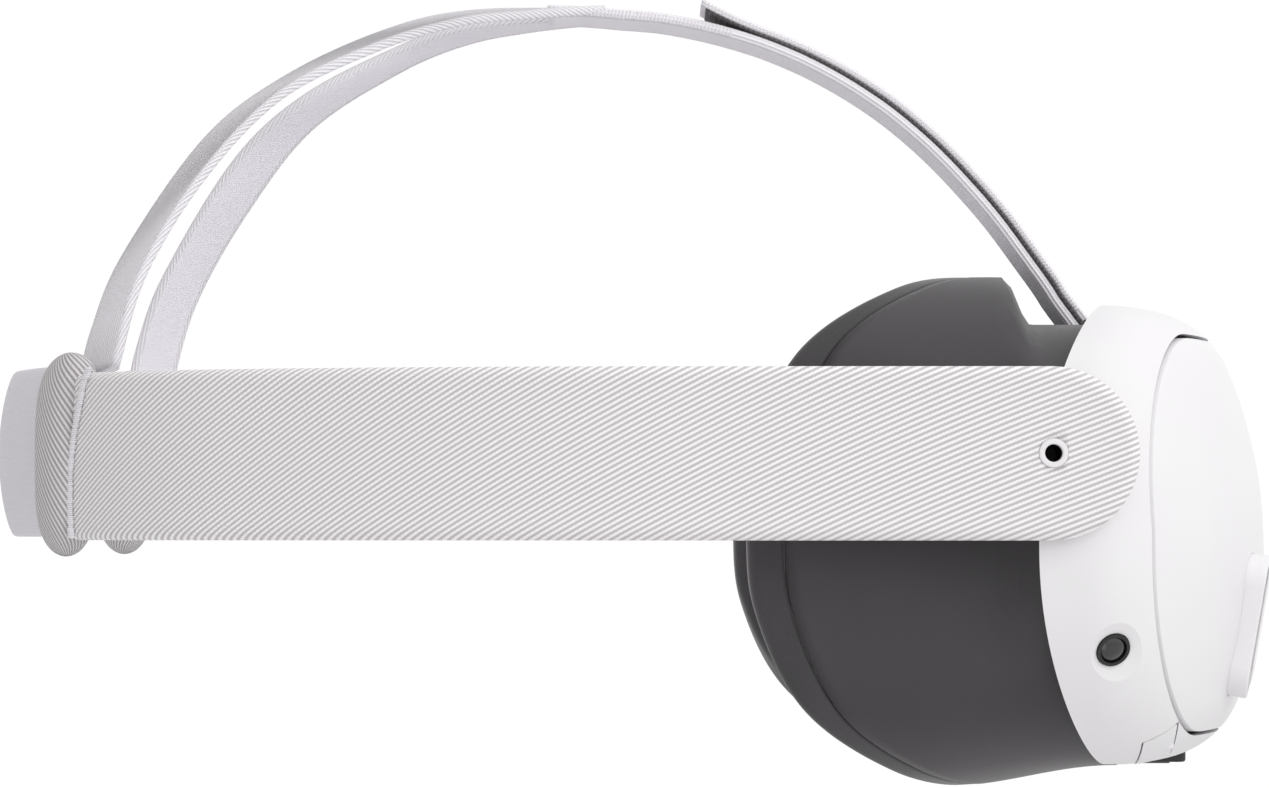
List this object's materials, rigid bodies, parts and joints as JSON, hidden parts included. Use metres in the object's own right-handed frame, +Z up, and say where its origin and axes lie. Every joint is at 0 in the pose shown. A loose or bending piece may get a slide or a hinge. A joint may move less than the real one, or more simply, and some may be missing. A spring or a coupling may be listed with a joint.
{
  "type": "vr headset",
  "caption": "Head-worn display visor with sensor pods, a moulded facial interface, fabric side straps, a padded rear band and a forked strap over the head.",
  "frame": {"origin": "midway between the centres of the wearer's eyes, where the head holds the headset", "axes": "+Z up, visor faces -Y, the wearer's right is -X"},
  "size_m": [0.1969, 0.2834, 0.1714],
  "materials": {
    "white_shell": "fine satin moulding",
    "black_glass": "polished",
    "black_plastic": "fine spark texture",
    "frame_metal": "die cast, grey",
    "steel": "bright",
    "circuit_board": "solder mask",
    "battery_wrap": "film wrapped",
    "lens_glass": "polished, coated",
    "display_glass": "glossy",
    "interface_plastic": "soft-touch satin",
    "interface_foam": "soft skin over foam",
    "arm_plastic": "moulded",
    "strap_fabric": "ribbed elastic weave",
    "band_fabric": "smooth knit over padding",
    "hook_tape": "hook and loop tape"
  },
  "bodies": {
    "visor": {"housing_shell": "white_shell", "front_plate": "white_shell", "mid_frame": "frame_metal", "mainboard": "circuit_board", "battery": "battery_wrap", "fan_housing": "black_plastic", "rear_cover": "black_plastic", "ipd_bezel": "black_plastic", "guide_rods": "steel", "strap_anchor": "frame_metal", "board_screws": "steel", "front_strap_loop": "strap_fabric", "depth_projector": "black_plastic", "sensor_pod_right": "white_shell", "sensor_pod_centre": "white_shell", "sensor_pod_left": "white_shell", "sensor_window_right": "black_glass", "sensor_window_centre": "black_glass", "sensor_window_left": "black_glass", "front_cameras_right": "black_plastic", "front_cameras_left": "black_plastic", "side_camera_right": "black_plastic", "side_camera_left": "black_plastic", "side_camera_lens_right": "black_glass", "side_camera_lens_left": "black_glass", "pivot_hub_right": "frame_metal", "pivot_hub_left": "frame_metal"},
    "fan": {"fan_rotor": "black_plastic"},
    "lens_unit_right": {"lens_barrel_right": "black_plastic", "lens_right": "lens_glass", "display_right": "display_glass", "lens_rack_right": "black_plastic"},
    "lens_unit_left": {"lens_barrel_left": "black_plastic", "lens_left": "lens_glass", "display_left": "display_glass", "lens_rack_left": "black_plastic"},
    "thumb_wheel": {"thumb_wheel": "black_plastic"},
    "volume_rocker": {"volume_rocker": "white_shell"},
    "power_button": {"power_button": "white_shell"},
    "facial_interface": {"interface_frame": "interface_plastic", "interface_cushion": "interface_foam"},
    "interface_button_right": {"interface_button_right": "black_plastic"},
    "interface_button_left": {"interface_button_left": "black_plastic"},
    "headband": {"arm_core_right": "arm_plastic", "arm_core_left": "arm_plastic", "side_strap_right": "strap_fabric", "side_strap_left": "strap_fabric", "speaker_right": "black_plastic", "speaker_left": "black_plastic", "jack_socket": "black_plastic", "jack_ring": "white_shell", "usb_socket": "white_shell", "rear_band": "band_fabric", "top_strap": "strap_fabric", "hook_pad": "hook_tape", "hook_flap": "strap_fabric", "strap_branch_right": "strap_fabric", "strap_branch_left": "strap_fabric"},
    "slider_right": {"rear_roll_right": "strap_fabric"},
    "slider_left": {"rear_roll_left": "strap_fabric"}
  },
  "joints": [
    {"name": "headband_tilt", "type": "hinge", "parent": "visor", "child": "headband", "pos_m": [0, -0.0317, 0.016], "axis": [1, 0, 0], "range_deg": [-10, 10]},
    {"name": "interface_depth", "type": "slide", "parent": "visor", "child": "facial_interface", "axis": [0, 1, 0], "range_m": [0, 0.009]},
    {"name": "interface_button_right_press", "type": "slide", "parent": "facial_interface", "child": "interface_button_right", "axis": [-1, 0, 0], "range_m": [0, 0.0012], "stiffness_N_per_m": 600, "springref_m": -0.001},
    {"name": "interface_button_left_press", "type": "slide", "parent": "facial_interface", "child": "interface_button_left", "axis": [1, 0, 0], "range_m": [0, 0.0012], "stiffness_N_per_m": 600, "springref_m": -0.001},
    {"name": "lens_right_spacing", "type": "slide", "parent": "visor", "child": "lens_unit_right", "axis": [-1, 0, 0], "range_m": [-0.0055, 0.0055]},
    {"name": "lens_left_spacing", "type": "slide", "parent": "visor", "child": "lens_unit_left", "axis": [1, 0, 0], "range_m": [-0.0055, 0.0055]},
    {"name": "thumb_wheel_turn", "type": "hinge", "parent": "visor", "child": "thumb_wheel", "pos_m": [0, -0.06, -0.038], "axis": [0, 1, 0], "range_deg": [-80, 80]},
    {"name": "volume_rock", "type": "hinge", "parent": "visor", "child": "volume_rocker", "pos_m": [-0.05558, -0.057, -0.04501], "axis": [0, 1, 0], "range_deg": [-1, 1], "stiffness_Nm_per_rad": 1.2},
    {"name": "power_press", "type": "slide", "parent": "visor", "child": "power_button", "axis": [-0.225, 0, 0.9744], "range_m": [0, 0.0005], "stiffness_N_per_m": 700, "springref_m": -0.0005},
    {"name": "fan_spin", "type": "hinge", "parent": "visor", "child": "fan", "pos_m": [0, -0.068, 0.018], "axis": [0, 1, 0], "continuous": true},
    {"name": "slider_right_slide", "type": "hinge", "parent": "headband", "child": "slider_right", "pos_m": [0, 0.1079, 0], "axis": [0, 0, 1], "range_deg": [-6, 6]},
    {"name": "slider_left_slide", "type": "hinge", "parent": "headband", "child": "slider_left", "pos_m": [0, 0.1079, 0], "axis": [0, 0, 1], "range_deg": [-6, 6]}
  ],
  "couplings": [
    {"joint": "lens_left_spacing", "follows": "lens_right_spacing", "ratio": 1},
    {"joint": "thumb_wheel_turn", "follows": "lens_right_spacing", "rad_per_m": -250}
  ]
}
